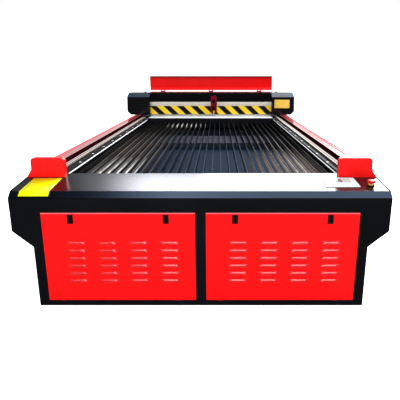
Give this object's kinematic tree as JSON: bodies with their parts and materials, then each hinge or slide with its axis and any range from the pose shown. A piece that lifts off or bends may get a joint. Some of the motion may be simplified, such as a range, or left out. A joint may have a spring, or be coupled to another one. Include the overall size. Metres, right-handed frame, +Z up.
{
  "type": "flatbed carbon dioxide laser cutter",
  "caption": "Flatbed laser cutter: black welded body with red louvred doors, slatted bed between belt-driven rails, and a moving gantry with laser head, tube box and raised red lid",
  "frame": {"origin": "centre of the footprint at floor level, midway between the outermost points of the machine", "axes": "+Z up, -Y is the operator's side with the two red doors, +X is to the operator's right"},
  "size_m": [2.09, 3.508, 1.155],
  "materials": {
    "black_paint": "gloss powder coat",
    "red_paint": "gloss powder coat",
    "white_paint": "satin powder coat",
    "blue_grey_paint": "satin powder coat",
    "grey_paint": "satin powder coat",
    "stripe_paint": "gloss paint with black stripes",
    "bare_aluminium": "extruded",
    "slat_aluminium": "drawn, scorched",
    "rail_steel": "ground",
    "bright_steel": "turned",
    "zinc_steel": "zinc plated",
    "maroon_anodised": "anodised",
    "black_plastic": "moulded",
    "red_plastic": "moulded",
    "yellow_plastic": "moulded",
    "belt_urethane": "toothed, cast",
    "black_rubber": "moulded",
    "tube_glass": "blown",
    "cradle_plastic": "moulded",
    "motor_steel": "black enamel"
  },
  "bodies": {
    "base": {"base_frame": "black_paint", "levelling_feet": "black_rubber", "front_panel": "black_paint", "side_panels": "black_paint", "rear_panel": "black_paint", "console_deck": "black_paint", "rear_deck": "white_paint", "rail_beams": "black_paint", "y_rails": "rail_steel", "rail_screws": "bright_steel", "belt_channels": "bare_aluminium", "y_belts": "belt_urethane", "y_motors": "motor_steel", "side_cover_l": "red_paint", "side_cover_r": "red_paint", "end_guard_l": "red_paint", "end_guard_r": "red_paint", "blade_slats": "slat_aluminium", "slat_combs": "black_paint", "cross_support": "grey_paint", "chute_front": "blue_grey_paint", "chute_rear": "black_paint", "equipment_shelf": "zinc_steel", "laser_supply": "zinc_steel", "controller_box": "zinc_steel", "control_panel": "white_paint", "estop_base": "yellow_plastic", "duct_spigots": "zinc_steel", "mains_inlet": "black_plastic", "door_hinges": "black_paint"},
    "gantry": {"gantry_beam": "bare_aluminium", "stripe_panel": "stripe_paint", "x_rail": "rail_steel", "tube_housing": "black_paint", "laser_tube": "tube_glass", "tube_cradles": "cradle_plastic", "end_cap_l": "black_paint", "end_cap_r": "black_paint", "y_carriages": "bright_steel", "beam_mirrors": "maroon_anodised", "x_belt": "black_rubber", "x_motor": "motor_steel", "lid_hinges": "black_paint"},
    "head": {"head_carriage": "maroon_anodised", "mirror_mount": "maroon_anodised"},
    "focus": {"lens_unit": "bright_steel"},
    "lid": {"tube_lid": "red_paint"},
    "door_left": {"door_l": "red_paint"},
    "door_right": {"door_r": "red_paint"},
    "latch_l1": {"latch_paddle_l1": "black_plastic"},
    "latch_l2": {"latch_paddle_l2": "black_plastic"},
    "latch_r1": {"latch_paddle_r1": "black_plastic"},
    "latch_r2": {"latch_paddle_r2": "black_plastic"},
    "estop": {"estop_button": "red_plastic"},
    "idler_left": {"idler_pulley_l": "bright_steel"},
    "idler_right": {"idler_pulley_r": "bright_steel"},
    "drive_left": {"drive_pulley_l": "bright_steel"},
    "drive_right": {"drive_pulley_r": "bright_steel"},
    "x_drive": {"x_drive_pulley": "bright_steel"},
    "x_idler": {"x_idler_pulley": "bright_steel"}
  },
  "joints": [
    {"name": "gantry_slide", "type": "slide", "parent": "base", "child": "gantry", "axis": [0, -1, 0], "range_m": [0, 2.68]},
    {"name": "head_slide", "type": "slide", "parent": "gantry", "child": "head", "axis": [1, 0, 0], "range_m": [-0.687, 0.613]},
    {"name": "focus_slide", "type": "slide", "parent": "head", "child": "focus", "axis": [0, 0, 1], "range_m": [-0.012, 0.004]},
    {"name": "lid_hinge", "type": "hinge", "parent": "gantry", "child": "lid", "pos_m": [0, 1.572, 0.962], "axis": [1, 0, 0], "range_deg": [0, 92.5]},
    {"name": "door_left_hinge", "type": "hinge", "parent": "base", "child": "door_left", "pos_m": [-0.41225, -1.75, 0.0368], "axis": [1, 0, 0], "range_deg": [0, 90]},
    {"name": "door_right_hinge", "type": "hinge", "parent": "base", "child": "door_right", "pos_m": [0.41225, -1.75, 0.0368], "axis": [1, 0, 0], "range_deg": [0, 90]},
    {"name": "latch_l1_pull", "type": "hinge", "parent": "door_left", "child": "latch_l1", "pos_m": [-0.65125, -1.7472, 0.505], "axis": [1, 0, 0], "range_deg": [-28, 0], "stiffness_Nm_per_rad": 0.4},
    {"name": "latch_l2_pull", "type": "hinge", "parent": "door_left", "child": "latch_l2", "pos_m": [-0.17325, -1.7472, 0.505], "axis": [1, 0, 0], "range_deg": [-28, 0], "stiffness_Nm_per_rad": 0.4},
    {"name": "latch_r1_pull", "type": "hinge", "parent": "door_right", "child": "latch_r1", "pos_m": [0.17325, -1.7472, 0.505], "axis": [1, 0, 0], "range_deg": [-28, 0], "stiffness_Nm_per_rad": 0.4},
    {"name": "latch_r2_pull", "type": "hinge", "parent": "door_right", "child": "latch_r2", "pos_m": [0.65125, -1.7472, 0.505], "axis": [1, 0, 0], "range_deg": [-28, 0], "stiffness_Nm_per_rad": 0.4},
    {"name": "estop_press", "type": "slide", "parent": "base", "child": "estop", "axis": [0, 0.124, -0.9923], "range_m": [0, 0.005], "stiffness_N_per_m": 2500},
    {"name": "idler_left_spin", "type": "hinge", "parent": "base", "child": "idler_left", "pos_m": [-0.839, -1.454, 0.631], "axis": [1, 0, 0], "continuous": true},
    {"name": "idler_right_spin", "type": "hinge", "parent": "base", "child": "idler_right", "pos_m": [0.839, -1.454, 0.631], "axis": [1, 0, 0], "continuous": true},
    {"name": "drive_left_spin", "type": "hinge", "parent": "base", "child": "drive_left", "pos_m": [-0.839, 1.639, 0.631], "axis": [1, 0, 0], "continuous": true},
    {"name": "drive_right_spin", "type": "hinge", "parent": "base", "child": "drive_right", "pos_m": [0.839, 1.639, 0.631], "axis": [1, 0, 0], "continuous": true},
    {"name": "x_drive_spin", "type": "hinge", "parent": "gantry", "child": "x_drive", "pos_m": [0.815, 1.324, 0.758], "axis": [0, 1, 0], "continuous": true},
    {"name": "x_idler_spin", "type": "hinge", "parent": "gantry", "child": "x_idler", "pos_m": [-0.815, 1.324, 0.758], "axis": [0, 1, 0], "continuous": true}
  ],
  "couplings": [
    {"joint": "idler_left_spin", "follows": "gantry_slide", "rad_per_m": 43.478},
    {"joint": "idler_right_spin", "follows": "gantry_slide", "rad_per_m": 43.478},
    {"joint": "drive_left_spin", "follows": "gantry_slide", "rad_per_m": 43.478},
    {"joint": "drive_right_spin", "follows": "gantry_slide", "rad_per_m": 43.478},
    {"joint": "x_drive_spin", "follows": "head_slide", "rad_per_m": 81.301},
    {"joint": "x_idler_spin", "follows": "head_slide", "rad_per_m": 81.301}
  ]
}
